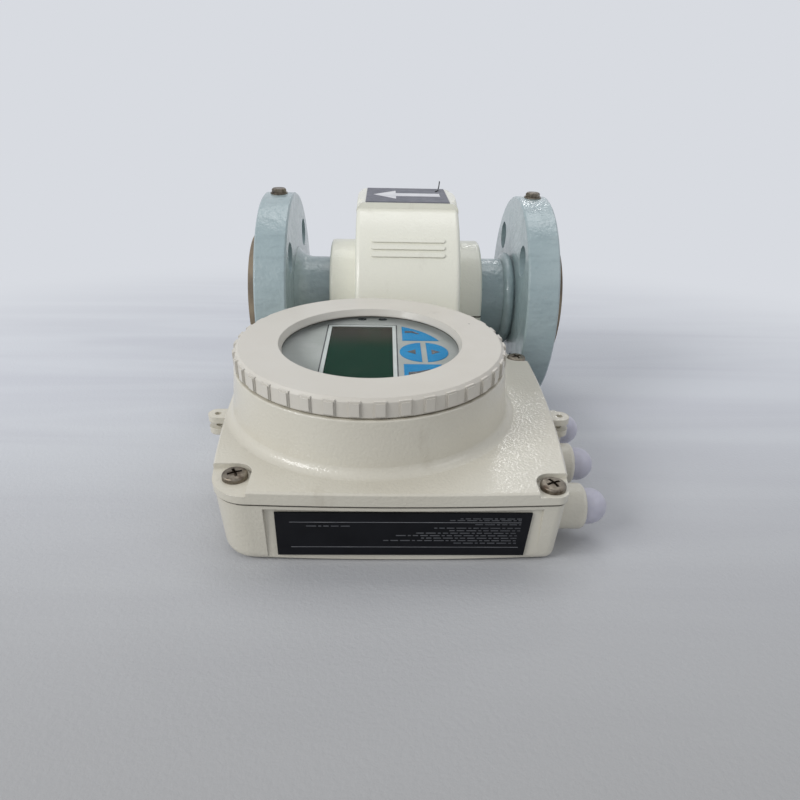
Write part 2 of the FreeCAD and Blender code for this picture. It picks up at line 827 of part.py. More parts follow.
def make_nameplate():
    """A thin plate that lies on the bed, a little narrower below than above."""
    low = plate_top_z - plate_height
    path = [(plate_left_x, low), (plate_right_x - plate_lean, low),
            (plate_right_x, plate_top_z), (plate_left_x, plate_top_z)]
    face = Part.Face(closed_wire(path, lambda x, z: point(x, plate_back_y(), z)))
    return face.extrude(-Y * plate_t)


def make_case_gasket():
    """The seal between the two shells, just inside their edges."""
    top, low = lid_low_z, base_top_z
    outer = case_solid(top, gasket_inset, low, gasket_inset)
    inner = case_solid(top + 1, base_inset + wall, low - 1, base_inset + wall)
    seal = outer.cut(inner)
    pads = [rod(screw_column_r, point(x, y, low), point(x, y, top)) for x, y in case_screw_spots()]
    seal = merged([seal] + [pad.common(outer) for pad in pads])
    for x, y in case_screw_spots():
        seal = seal.cut(rod(screw_r + screw_play, point(x, y, low), point(x, y, top)))
    return seal


def make_lid():
    """The front shell: a lipped plate with the tapered boss that the display cover screws into."""
    plate = case_solid(lid_top_z, 0.0, lid_low_z, 0.0)
    plate = plate.makeChamfer(lid_edge, edges_where(plate, lambda p: abs(p.z - lid_top_z) < 1e-4))
    pocket_low = lid_top_z - lid_t
    hollow = case_solid(pocket_low, wall, lid_low_z - 1, wall)
    columns = [corner_room(x, y, pocket_r + pocket_wall, lid_low_z, lid_top_z).common(plate)
               for x, y in case_screw_spots()]
    rim_r = boss_foot_r - lid_t
    rim = ring_z(rim_r, 0, lid_low_z, ledge_z).common(plate)
    boss = lid_boss()
    ears = [lug(side, lid_low_z + lug_t) for side in (1, -1)]
    shell = merged([plate, boss.common(case_solid(REACH, boss_inset, -REACH, boss_inset))]).cut(hollow)
    shell = merged([shell, rim] + columns + ears)
    thread_r = skirt_outer_r + thread_gap
    seat_z = boss_top_z - seal_seat_depth
    shell = shell.cut(ring_z(thread_r, 0, ledge_z, seat_z))
    shell = shell.cut(ring_z(seal_seat_r(), 0, seat_z, REACH))
    shell = shell.cut(ring_z(ledge_inner_r, 0, -REACH, REACH))
    for x, y in case_screw_spots():
        shell = shell.cut(corner_room(x, y, pocket_r, pocket_z, lid_top_z + 1).cut(boss))
        shell = shell.cut(rod(screw_r + screw_play, point(x, y, lid_low_z - 1), point(x, y, lid_top_z)))
    return shell


def corner_room(x, y, radius, low_z, high_z):
    """The room around a corner screw, open towards the two sides of the housing that meet there."""
    out_x = math.copysign(1, x - case_x)
    out_y = math.copysign(1, y - case_mid_y)
    across = sorted((x, x + out_x * pocket_open)) + sorted((y - out_y * radius, y + out_y * pocket_open))
    along = sorted((x - out_x * radius, x + out_x * pocket_open)) + sorted((y, y + out_y * pocket_open))
    middle = rod(radius, point(x, y, low_z), point(x, y, high_z))
    return merged([middle, block(*across, low_z, high_z), block(*along, low_z, high_z)])


def lid_boss():
    """The tapered boss under the display cover, with a hollow sweep round its foot."""
    sweep_r = boss_foot_r + boss_fillet_r
    sweep_middle = (boss_foot_r + boss_fillet_r * 0.22, lid_top_z + boss_fillet_r * 0.26)
    return turned_z([
        (0, lid_top_z - lid_edge), (sweep_r, lid_top_z - lid_edge), (sweep_r, lid_top_z),
        (sweep_middle, (boss_foot_r - boss_edge / 4, boss_foot_z)),
        (boss_top_r, boss_top_z - boss_edge), (boss_top_r - boss_edge, boss_top_z), (0, boss_top_z),
    ])


def seal_seat_r():
    return skirt_outer_r + 2 * (seal_section_r + seal_seat_play)


def make_case_screws():
    """Four pan-head screws with a cross recess."""
    top = pocket_z + screw_head_h
    shoulder = ((screw_head_r + screw_crown_r) / 2 + screw_shoulder,
                (pocket_z + screw_rim_h + top - screw_crown_h) / 2 + screw_shoulder)
    screws = []
    for x, y in case_screw_spots():
        head = turned_z([
            (0, pocket_z), (screw_head_r, pocket_z), (screw_head_r, pocket_z + screw_rim_h),
            (shoulder, (screw_crown_r, top - screw_crown_h)),
            ((screw_crown_r / 2, top - screw_crown_h / 4), (0, top)),
        ], x, y)
        for turn in (cross_turn, cross_turn + 90):
            slot = block(-cross_length / 2, cross_length / 2, -cross_width / 2, cross_width / 2,
                         top - cross_depth, top + 1)
            slot.rotate(ZERO, Z, turn)
            slot.translate(point(x, y, 0))
            head = head.cut(slot)
        shank = rod(screw_r, point(x, y, pocket_z), point(x, y, pocket_z - screw_length + screw_r))
        screws.append(merged([head, shank]))
    return Part.makeCompound(screws)


def make_plug(number):
    """A blanking plug: a short collar and a round dome outside, and a plain stub in the entry."""
    y = gland_spots()[number]
    seat = point(gland_end_x(y), y, gland_z)
    foot = seat + X * plug_collar_h
    dome = Part.makeSphere(plug_dome_r, foot).common(rod(plug_dome_r + 1, foot, foot + X * plug_dome_r))
    stub = rod(gland_thread_r - press_gap, seat - X * plug_stub, seat)
    return merged([dome, rod(plug_dome_r, seat, foot), stub])


# ---- Display cover ------------------------------------------------------------------------------
def make_cover():
    """The screwed cover's ring: bevelled opening, seat for the window and grip pads round the rim."""
    seat_r = glass_r + glass_play
    body = turned_z([
        (opening_top_r, cover_top_z), (cover_r - cover_edge, cover_top_z),
        (cover_r, cover_top_z - cover_edge), (cover_r, ring_low_z + ring_edge),
        (cover_r - ring_edge, ring_low_z), (seat_r, ring_low_z), (seat_r, gasket_top_z),
        (opening_r, gasket_top_z), (opening_r, gasket_top_z + ring_edge),
    ])
    low = ring_low_z + grip_low
    crown_low, crown_top = low + grip_crown_low, low + grip_height - grip_crown_top
    outside = Part.makeCylinder(pad_r, REACH, point(0, 0, -REACH / 2))
    foot = grip_wedge(pad_r - grip_step, 1.0, low, low + grip_height)
    crown = grip_wedge(pad_r + 1, grip_crown_share, crown_low, crown_top).common(outside)
    pads = []
    for number in range(grip_count):
        pad = foot.fuse(crown)
        pad.rotate(ZERO, Z, grip_phase + number * 360 / grip_count)
        pad.translate(point(cover_x, cover_y, 0))
        pads.append(pad)
    return merged([body] + pads)


def grip_wedge(outer_r, share, low, top):
    """A wedge of the rim at the front, share as wide as a grip pad."""
    half = math.radians(180 / grip_count * grip_share * share)
    root = cover_r - grip_sink
    corners = [(root, -half), (outer_r, -half), (outer_r, half), (root, half)]
    foot = closed_wire(corners, lambda r, a: point(r * math.sin(a), -r * math.cos(a), low))
    return Part.Face(foot).extrude(Z * (top - low))


def make_skirt():
    """The cover's threaded skirt, which goes down into the housing's boss."""
    return turned_z([
        (skirt_inner_r, ring_low_z), (skirt_outer_r, ring_low_z), (skirt_outer_r, skirt_low_z + skirt_edge),
        (skirt_outer_r - skirt_edge, skirt_low_z), (skirt_inner_r, skirt_low_z),
    ])


def make_cover_seal():
    middle_r = skirt_outer_r + seal_section_r + seal_seat_play
    low = boss_top_z - seal_seat_depth + seal_seat_play
    return Part.makeTorus(middle_r, seal_section_r, point(cover_x, cover_y, low + seal_section_r), Z)


def make_window_gasket():
    return ring_z(glass_r, opening_r, glass_top_z, gasket_top_z)


def make_glass():
    return Part.makeCylinder(glass_r, glass_t, point(cover_x, cover_y, glass_low_z))


def make_retainer():
    ring = ring_z(skirt_inner_r - press_gap, retainer_inner_r, retainer_low_z, glass_low_z)
    for turn in (0, 180):
        notch = block(-notch_width / 2, notch_width / 2, 0, retainer_inner_r + notch_depth,
                      retainer_low_z, glass_low_z)
        notch.rotate(ZERO, Z, turn)
        notch.translate(point(cover_x, cover_y, 0))
        ring = ring.cut(notch)
    return ring


# ---- Display and electronics --------------------------------------------------------------------
def on_face(x0, x1, y0, y1, z0, z1):
    """A block placed by its distances from the cover's axis."""
    return block(cover_x + x0, cover_x + x1, cover_y + y0, cover_y + y1, z0, z1)


def lcd_block(grow, z0, z1):
    return on_face(lcd_x - lcd_width / 2 - grow, lcd_x + lcd_width / 2 + grow,
                   lcd_y - lcd_length / 2 - grow, lcd_y + lcd_length / 2 + grow, z0, z1)


def make_bezel():
    """The round face of the display unit, with the window for the liquid crystal panel."""
    disc = Part.makeCylinder(bezel_r, bezel_t, point(cover_x, cover_y, bezel_low_z))
    return disc.cut(lcd_block(0, bezel_low_z - 1, bezel_top_z + 1))


def make_lcd():
    return lcd_block(-lcd_gap, bezel_low_z, bezel_top_z - 0.3)


def make_keys():
    """The four touch fields: a split disc and a corner field above and below it."""
    top = bezel_top_z + key_t
    middle = point(cover_x + key_x, cover_y + key_y, bezel_top_z)
    disc = Part.makeCylinder(key_r, key_t, middle)
    disc = disc.cut(on_face(key_x - key_split / 2, key_x + key_split / 2, -REACH, REACH, bezel_top_z, top))
    field = Part.makeCylinder(key_field_r, key_t, point(cover_x, cover_y, bezel_top_z))
    field = field.cut(Part.makeCylinder(key_field_gap, key_t, middle))
    field = field.common(on_face(key_field_x, REACH, -REACH, REACH, bezel_top_z, top))
    field = field.cut(on_face(-REACH, REACH, key_y - key_field_y, key_y + key_field_y, bezel_top_z, top))
    return Part.makeCompound(disc.Solids + field.Solids)


def make_lamps():
    """Two small oval windows above the panel."""
    reach = (lamp_length - lamp_width) / 2
    half = lamp_width / 2
    lamps = []
    for x in (-lamp_spacing / 2, lamp_spacing / 2):
        bar = on_face(x - reach, x + reach, lamp_y - half, lamp_y + half, bezel_top_z, bezel_top_z + key_t)
        ends = [Part.makeCylinder(half, key_t, point(cover_x + x + shift, cover_y + lamp_y, bezel_top_z))
                for shift in (-reach, reach)]
        lamps.append(merged([bar] + ends))
    return Part.makeCompound(lamps)


def make_display_board():
    board = Part.makeCylinder(display_board_r, board_t, point(cover_x, cover_y, board_low_z))
    for turn in (45, 135, 225, 315):
        a = math.radians(turn)
        x = cover_x + board_hole_place * math.cos(a)
        y = cover_y + board_hole_place * math.sin(a)
        board = board.cut(Part.makeCylinder(board_hole_r, board_t, point(x, y, board_low_z)))
    return board


def make_carrier():
    """The moulded cup that carries the display: a flange on the ledge and a wall up to the bezel."""
    inner = carrier_r - carrier_wall
    floor_top = board_low_z - carrier_floor_t
    floor_low = floor_top - carrier_floor_t
    nest = display_board_r + carrier_play
    flange_top = ledge_z + carrier_flange_t
    return turned_z([
        (0, floor_top), (nest, floor_top), (nest, board_low_z), (inner, board_low_z), (inner, bezel_low_z),
        (carrier_r, bezel_low_z), (carrier_r, flange_top), (carrier_flange_r, flange_top),
        (carrier_flange_r, ledge_z), (inner, ledge_z), (inner, floor_low), (0, floor_low),
    ])


def board_post_spots():
    reach_x, reach_y = main_board_x / 2 - post_inset, main_board_y / 2 - post_inset
    return [(board_x() + x, board_y() + y) for x in (-reach_x, reach_x) for y in (-reach_y, reach_y)]


def board_x():
    return case_x + main_board_shift_x


def board_y():
    return (case_back_y + case_front_y) / 2 + main_board_shift_y


def make_main_board():
    board = block(board_x() - main_board_x / 2, board_x() + main_board_x / 2,
                  board_y() - main_board_y / 2, board_y() + main_board_y / 2,
                  main_board_z, main_board_z + board_t)
    for x, y in board_post_spots():
        board = board.cut(rod(board_hole_r, point(x, y, main_board_z), point(x, y, main_board_z + board_t)))
    return board


def make_terminal_block():
    """The row of cable terminals beside the entries, each with a wire mouth and a screw well."""
    x1 = board_x() + main_board_x / 2 - block_edge
    y0 = board_y() - main_board_y / 2 + block_shift
    z0 = main_board_z + board_t
    top = z0 + block_h
    pitch = block_y / terminal_count
    body = block(x1 - block_x, x1, y0, y0 + block_y, z0, top)
    for number in range(terminal_count):
        y = y0 + pitch * (number + 0.5)
        mouth_z = z0 + mouth_low
        body = body.cut(block(x1 - mouth_depth, x1, y - mouth_width / 2, y + mouth_width / 2,
                              mouth_z, mouth_z + mouth_width))
        well_x = x1 - block_x + well_inset
        body = body.cut(rod(well_r, point(well_x, y, top - well_depth), point(well_x, y, top)))
    return body


def make_power_module():
    """The potted mains module on the main board."""
    x0 = board_x() - main_board_x / 2 + module_inset
    y0 = board_y() - module_y / 2 + module_shift
    z0 = main_board_z + board_t
    top = z0 + module_h
    body = block(x0, x0 + module_x, y0, y0 + module_y, z0, top)
    return body.makeFillet(module_edge_r, edges_where(body, lambda p: abs(p.z - top) < 1e-6))


# ---- All pieces ---------------------------------------------------------------------------------
def all_parts():
    """Node name to solid."""
    flange = make_flange()
    flare = make_flare()
    screw, washer = make_earth_screw(), make_earth_washer()
    nodes = {
        "flow_tube": make_flow_tube(),
        "flange_inlet": flange,
        "flange_outlet": mirrored_x(flange),
        "liner": make_liner(),
        "liner_flare_inlet": flare,
        "liner_flare_outlet": mirrored_x(flare),
        "earth_screws": Part.makeCompound([screw, mirrored_x(screw)]),
        "earth_washers": Part.makeCompound([washer, mirrored_x(washer)]),
        "sensor_shell_front": make_shell(1),
        "sensor_shell_rear": make_shell(-1),
        "sensor_shell_gasket": make_shell_gasket(),
        "sensor_shell_screws": make_shell_screws(),
        "field_yoke": make_yoke(),
        "pole_upper": make_pole(-1),
        "pole_lower": make_pole(1),
        "coil_upper": make_coil(-1),
        "coil_lower": make_coil(1),
        "electrode_front": make_electrode(1),
        "electrode_rear": make_electrode(-1),
        "electrode_sleeves": Part.makeCompound([make_sleeve(1), make_sleeve(-1)]),
        "flow_arrow_plate": make_label(),
        "neck": make_neck(),
        "neck_seal": make_neck_seal(),
        "neck_clip": make_neck_clip(),
        "housing_base": make_base(),
        "housing_gasket": make_case_gasket(),
        "housing_front": make_lid(),
        "housing_screws": make_case_screws(),
        "nameplate": make_nameplate(),
        "cover_seal": make_cover_seal(),
        "cover_ring": make_cover(),
        "cover_skirt": make_skirt(),
        "window_gasket": make_window_gasket(),
        "window_glass": make_glass(),
        "glass_retainer": make_retainer(),
        "display_bezel": make_bezel(),
        "lcd_panel": make_lcd(),
        "touch_keys": make_keys(),
        "status_lamps": make_lamps(),
        "display_board": make_display_board(),
        "display_carrier": make_carrier(),
        "main_board": make_main_board(),
        "terminal_block": make_terminal_block(),
        "power_module": make_power_module(),
    }
    for number in range(gland_count):
        nodes["blanking_plug_%d" % (number + 1)] = make_plug(number)
    return nodes


os.makedirs("parts", exist_ok=True)
for name, shape in all_parts().items():
    shape.exportStep("parts/%s.step" % name)
    print("%-22s %d solid(s) %10.1f mm3 valid %s" % (name, len(shape.Solids), shape.Volume, shape.isValid()))
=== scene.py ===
import bpy
import json
import math
from mathutils import Matrix, Vector


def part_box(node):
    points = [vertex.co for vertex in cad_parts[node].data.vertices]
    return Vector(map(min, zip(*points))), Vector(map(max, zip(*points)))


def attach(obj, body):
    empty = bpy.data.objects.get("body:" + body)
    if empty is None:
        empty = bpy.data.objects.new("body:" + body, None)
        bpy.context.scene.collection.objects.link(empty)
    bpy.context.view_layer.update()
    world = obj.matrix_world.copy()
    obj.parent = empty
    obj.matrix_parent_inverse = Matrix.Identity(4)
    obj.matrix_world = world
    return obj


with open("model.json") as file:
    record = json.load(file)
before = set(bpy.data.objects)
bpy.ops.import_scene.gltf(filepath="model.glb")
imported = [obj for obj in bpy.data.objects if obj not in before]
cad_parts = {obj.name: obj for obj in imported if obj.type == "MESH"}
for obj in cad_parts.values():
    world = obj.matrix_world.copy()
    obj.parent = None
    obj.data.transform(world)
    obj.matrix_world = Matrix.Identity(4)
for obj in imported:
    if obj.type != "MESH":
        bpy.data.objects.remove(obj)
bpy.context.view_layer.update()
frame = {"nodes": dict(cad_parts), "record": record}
nodes = frame["nodes"]

MM = 0.001

# ---- Places that follow from the frame ----------------------------------------------------------
rim_radius = -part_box("flange_inlet")[0].z     # the pipe's axis is the X axis
plate_low, plate_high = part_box("flow_arrow_plate")
name_low, name_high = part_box("nameplate")
bezel_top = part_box("display_bezel")[1].z
cover_centre = sum(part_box("cover_ring"), Vector()) / 2


def floor_tilt():
    """The angle of the floor against the frame, about X: it touches the flanges' rims and the head's edge."""
    tilt = math.radians(90)
    for vertex in nodes["housing_base"].data.vertices:
        y, z = vertex.co.y, vertex.co.z
        if y < 0 and z < 0:
            below = math.atan(z / y)     # the vertex's own angle below the -Y axis
            tilt = min(tilt, math.asin(rim_radius / math.hypot(y, z)) - below)
    return tilt


# ---- Material kit -------------------------------------------------------------------------------
NOISE_LIMITS = (0.3, 0.7)


class Paint:
    """A principled material with short calls for the nodes that feed it. Sizes are in metres."""

    def __init__(self, name):
        self.material = bpy.data.materials.new(name)
        self.material.use_nodes = True
        self.tree = self.material.node_tree
        self.shader = self.tree.nodes["Principled BSDF"]
        self.coord = self.tree.nodes.new("ShaderNodeTexCoord").outputs["Object"]

    def new(self, kind, **settings):
        node = self.tree.nodes.new(kind)
        for key, value in settings.items():
            setattr(node, key, value)
        return node

    def link(self, source, target):
        self.tree.links.new(source, target)

    def put(self, target, value):
        """Feeds a socket with another socket, a colour or a number."""
        if isinstance(value, bpy.types.NodeSocket):
            self.link(value, target)
        elif isinstance(value, tuple) and len(value) == 3 and target.type == "RGBA":
            target.default_value = (*value, 1.0)
        else:
            target.default_value = value

    def set(self, **values):
        for key, value in values.items():
            self.put(self.shader.inputs[key.replace("_", " ")], value)

    def stretched(self, scale):
        """Coordinates in which noise comes out longer along the axes with a scale below 1."""
        node = self.new("ShaderNodeMapping")
        self.link(self.coord, node.inputs["Vector"])
        node.inputs["Scale"].default_value = scale
        return node.outputs["Vector"]

    def noise(self, size, detail=2.0, rough=0.5, warp=0.0, vector=None):
        """Noise of about the given feature size."""
        node = self.new("ShaderNodeTexNoise")
        self.link(vector or self.coord, node.inputs["Vector"])
        node.inputs["Scale"].default_value = 1.0 / size
        node.inputs["Detail"].default_value = detail
        node.inputs["Roughness"].default_value = rough
        node.inputs["Distortion"].default_value = warp
        return node.outputs["Fac"]

    def cells(self, size, feature="F1"):
        """Distance from the middles, or from the edges, of cells of about the given size, as a share of it."""
        node = self.new("ShaderNodeTexVoronoi", feature=feature)
        self.link(self.coord, node.inputs["Vector"])
        node.inputs["Scale"].default_value = 1.0 / size
        return node.outputs["Distance"]

    def ramp(self, value, low, high, from_value=0.0, to_value=1.0):
        """A smooth step from from_value to to_value, while value goes from low to high."""
        node = self.new("ShaderNodeMapRange", interpolation_type="SMOOTHSTEP")
        self.link(value, node.inputs["Value"])
        for key, number in (("From Min", low), ("From Max", high), ("To Min", from_value), ("To Max", to_value)):
            node.inputs[key].default_value = number
        return node.outputs["Result"]

    def spread(self, noise, from_value=0.0, to_value=1.0):
        """Noise spread over the given values. Nearly all of it lies between the limits used here."""
        return self.ramp(noise, *NOISE_LIMITS, from_value, to_value)

    def mix(self, amount, one, other):
        """One colour where amount is 0, the other where it is 1."""
        node = self.new("ShaderNodeMix", data_type="RGBA")
        self.put(node.inputs[0], amount)
        self.put(node.inputs[6], one)
        self.put(node.inputs[7], other)
        return node.outputs[2]

    def math(self, operation, one, other):
        node = self.new("ShaderNodeMath", operation=operation)
        self.put(node.inputs[0], one)
        self.put(node.inputs[1], other)
        return node.outputs[0]

    def axis(self, name):
        """How far the point lies along X, Y or Z."""
        node = self.new("ShaderNodeSeparateXYZ")
        self.link(self.coord, node.inputs[0])
        return node.outputs[name]

    def crevice(self, distance):
        """1 in the open, 0 deep in a corner. Corners are felt from the given distance."""
        node = self.new("ShaderNodeAmbientOcclusion", samples=6)
        node.inputs["Distance"].default_value = distance
        return node.outputs["AO"]

    def bump(self, height, depth, under=None):
        """A normal for relief of the given depth, on top of another normal if one is given."""
        node = self.new("ShaderNodeBump")
        node.inputs["Distance"].default_value = depth
        self.link(height, node.inputs["Height"])
        if under:
            self.link(under, node.inputs["Normal"])
        return node.outputs["Normal"]

    def rounded(self, radius):
        """A normal that rounds sharp edges off."""
        node = self.new("ShaderNodeBevel", samples=4)
        node.inputs["Radius"].default_value = radius
        return node.outputs["Normal"]


def srgb(red, green, blue):
    """A colour given as screen values from 0 to 255, in the linear form that nodes use."""
    def linear(value):
        value /= 255.0
        return value / 12.92 if value <= 0.04045 else ((value + 0.055) / 1.055) ** 2.4
    return linear(red), linear(green), linear(blue)


# ---- Materials ----------------------------------------------------------------------------------
# The sensor's own tone, also set lighter as painted light on the drum.
SENSOR_TONE_AND_PAINTED_LIGHT = srgb(233, 232, 218)
SENSOR_FROM, SENSOR_FULL = -79 * MM, -75 * MM     # along Y, where the head ends and the sensor's tone begins
NICK_TONE = srgb(70, 66, 58)
HOUSING_COAT_ROUGHNESS, PIPE_COAT_ROUGHNESS = 0.06, 0.07
GLASS_IOR, GLASS_MIRROR_SHARE = 1.5, 0.08     # the share is that of the shader that mirrors as well as bends
# Along Y, where the LCD's painted brownish reflection begins and where it is full.
LCD_REFLECTION_FROM, LCD_REFLECTION_FULL = cover_centre.y + 2 * MM, cover_centre.y + 30 * MM     # along Y
WIRE_LAYER_SCALE = 330.0     # layers of wire in the coils
SUBSURFACE_RADIUS = (4 * MM, 4 * MM, 5 * MM)


def housing_paint(name, tone, shade, dirt_and_shade_tone, roughness, peel_size, peel_depth, coat):
    """Powder coat over a casting: a little uneven tone, orange peel, grime and painted shade in corners and small
    dark nicks.

    The tone and its shade mix in wide patches. Past the neck the coat has the sensor's own tone, which is also set
    lighter to paint in light on the drum.
    """
    p = Paint(name)
    tone_mix = p.mix(p.spread(p.noise(70 * MM, 2)), tone, shade)
    tone_mix = p.mix(p.ramp(p.axis("Y"), SENSOR_FROM, SENSOR_FULL), tone_mix, SENSOR_TONE_AND_PAINTED_LIGHT)
    streak = p.noise(16 * MM, 4, 0.6, vector=p.stretched((1.0, 1.0, 0.35)))
    soiled_and_shaded = p.mix(p.ramp(streak, 0.62, 0.82, 0.0, 0.22), tone_mix, dirt_and_shade_tone)
    # Grime and painted shade: the coat darkens towards the dirt tone where corners are near, as ambient occlusion
    # finds them.
    grime_and_painted_shade = p.math("MULTIPLY", p.ramp(p.crevice(1.6 * MM), 0.1, 0.7, 0.8, 0.0), p.ramp(streak, 0.2, 0.7, 0.15, 0.7))
    soiled_and_shaded = p.mix(grime_and_painted_shade, soiled_and_shaded, dirt_and_shade_tone)
    nick = p.math("MULTIPLY", p.ramp(p.cells(22 * MM), 0.0, 0.04, 1.0, 0.0), p.ramp(p.noise(40 * MM), 0.5, 0.6))
    soiled_and_shaded = p.mix(p.math("MULTIPLY", nick, 0.85), soiled_and_shaded, NICK_TONE)
    normal = p.bump(p.noise(peel_size, 2.0, 0.45), peel_depth, p.rounded(0.5 * MM))
    p.set(Base_Color=soiled_and_shaded, Roughness=p.spread(p.noise(9 * MM, 3), roughness, roughness + 0.12),
          Normal=normal, Coat_Weight=coat, Coat_Roughness=HOUSING_COAT_ROUGHNESS)
    p.link(normal, p.shader.inputs["Coat Normal"])
    return p.material


def pipe_paint():
    """Thick glossy enamel brushed on rough castings, rubbed pale in places, with small chips, and grime and painted
    shade in corners.
    """
    p = Paint("pipe_paint")
    tone = p.mix(p.spread(p.noise(45 * MM, 3)), srgb(164, 180, 182), srgb(150, 168, 171))
    rub = p.ramp(p.noise(14 * MM, 5, 0.65), 0.58, 0.75, 0.0, 0.5)
    tone = p.mix(rub, tone, srgb(178, 188, 189))
    brush = p.noise(5 * MM, 4, 0.6, vector=p.stretched((0.25, 1.0, 1.0)))
    tone = p.mix(p.ramp(brush, 0.45, 0.75, 0.0, 0.35), tone, srgb(122, 138, 142))
    # Grime and painted shade: darker where corners are near, as ambient occlusion finds them.
    grime_and_painted_shade = p.ramp(p.crevice(2.2 * MM), 0.1, 0.7, 0.3, 0.0)
    tone = p.mix(grime_and_painted_shade, tone, srgb(74, 84, 80))
    chip = p.math("MULTIPLY", p.ramp(p.cells(13 * MM), 0.0, 0.06, 1.0, 0.0), p.ramp(p.noise(30 * MM), 0.5, 0.58))
    tone = p.mix(chip, tone, srgb(74, 66, 58))
    lump = p.bump(p.noise(2.6 * MM, 3, 0.5), 0.4 * MM, p.rounded(0.6 * MM))
    normal = p.bump(p.noise(9 * MM, 2), 0.5 * MM, lump)
    p.set(Base_Color=tone, Roughness=p.spread(p.noise(8 * MM, 3), 0.3, 0.48), Normal=normal,
          Coat_Weight=0.7, Coat_Roughness=PIPE_COAT_ROUGHNESS)
    p.link(normal, p.shader.inputs["Coat Normal"])
    return p.material


def liner_rubber():
    """Brown lining with wipe marks and dark stains."""
    p = Paint("liner_rubber")
    tone = p.mix(p.ramp(p.noise(22 * MM, 4, 0.6), 0.35, 0.7), srgb(150, 134, 112), srgb(112, 98, 82))
    tone = p.mix(p.ramp(p.noise(7 * MM, 4, 0.6), 0.58, 0.7, 0.0, 0.6), tone, srgb(72, 62, 54))
    p.set(Base_Color=tone, Roughness=0.55, Normal=p.bump(p.noise(1.5 * MM, 3), 0.08 * MM, p.rounded(0.4 * MM)))
    return p.material


def metal(name, tone, dark, roughness, stain=0.5):
    """Plain or plated metal with fine grain and darker stains."""
    p = Paint(name)
    patch = p.ramp(p.noise(3.5 * MM, 4, 0.6), 0.4, 0.7, 0.0, stain)
    p.set(Base_Color=p.mix(patch, tone, dark), Metallic=1.0,
          Roughness=p.spread(p.noise(2 * MM, 3), roughness, roughness + 0.2),
          Normal=p.bump(p.noise(0.6 * MM, 2), 0.03 * MM, p.rounded(0.25 * MM)))
    return p.material


def plastic(name, tone, dark, roughness, grain=0.5 * MM, depth=0.02 * MM, see_through=0.0, gloss=0.5):
    """Moulded plastic with a faint texture and a little uneven tone."""
    p = Paint(name)
    patch = p.spread(p.noise(12 * MM, 3))
    p.set(Base_Color=p.mix(patch, tone, dark),
          Roughness=p.spread(p.noise(4 * MM, 3), roughness, roughness + 0.1),
          Normal=p.bump(p.noise(grain, 2), depth, p.rounded(0.3 * MM)),
          Subsurface_Weight=see_through, Specular_IOR_Level=gloss)
    p.shader.inputs["Subsurface Radius"].default_value = SUBSURFACE_RADIUS
    return p.material


def window_glass():
    """A clear pane that bends what is seen through it, mirrors faintly and lets the lamps through."""
    p = Paint("window")
    p.set(Base_Color=(1.0, 1.0, 1.0), Roughness=0.0, Transmission_Weight=1.0)
    p.shader.inputs["IOR"].default_value = GLASS_IOR
    bent = p.new("ShaderNodeBsdfRefraction")
    bent.inputs["Roughness"].default_value = 0.0
    bent.inputs["IOR"].default_value = GLASS_IOR
    pane = p.new("ShaderNodeMixShader")
    pane.inputs[0].default_value = GLASS_MIRROR_SHARE
    p.link(bent.outputs[0], pane.inputs[1])
    p.link(p.shader.outputs[0], pane.inputs[2])
    path = p.new("ShaderNodeLightPath")
    through = p.new("ShaderNodeMixShader")
    p.link(p.math("MAXIMUM", path.outputs["Is Shadow Ray"], path.outputs["Is Diffuse Ray"]), through.inputs[0])
    p.link(pane.outputs[0], through.inputs[1])
    p.link(p.new("ShaderNodeBsdfTransparent").outputs[0], through.inputs[2])
    p.link(through.outputs[0], p.tree.nodes["Material Output"].inputs["Surface"])
    return p.material


def lcd_glass():
    """A dark, greenish panel that is off, with a painted brownish reflection towards its back edge, and faint smears.
    """
    p = Paint("lcd_glass")
    # Painted reflection: the panel turns browner towards its back edge.
    tone = p.mix(p.ramp(p.axis("Y"), LCD_REFLECTION_FROM, LCD_REFLECTION_FULL), srgb(24, 56, 42), srgb(66, 64, 58))
    smear = p.noise(14 * MM, 4, 0.6, 1.2)
    p.set(Base_Color=p.mix(p.ramp(smear, 0.5, 0.75, 0.0, 0.35), tone, srgb(50, 70, 58)), Roughness=0.3,
          Specular_IOR_Level=0.0)
    return p.material


def board_green():
    """Solder mask with tracks."""
    p = Paint("circuit_board")
    track = p.ramp(p.cells(4 * MM, "DISTANCE_TO_EDGE"), 0.02, 0.06)
    p.set(Base_Color=p.mix(track, srgb(40, 120, 70), srgb(16, 74, 40)), Roughness=0.35,
          Normal=p.bump(track, 0.05 * MM))
    return p.material


def winding():
    """Enamelled wire in fine layers."""
    p = Paint("winding")
    layer = p.new("ShaderNodeTexWave", bands_direction="Y")
    p.link(p.coord, layer.inputs["Vector"])
    layer.inputs["Scale"].default_value = WIRE_LAYER_SCALE
    p.set(Base_Color=srgb(150, 72, 34), Roughness=0.35, Metallic=0.6, Normal=p.bump(layer.outputs["Fac"], 0.2 * MM))
    return p.material


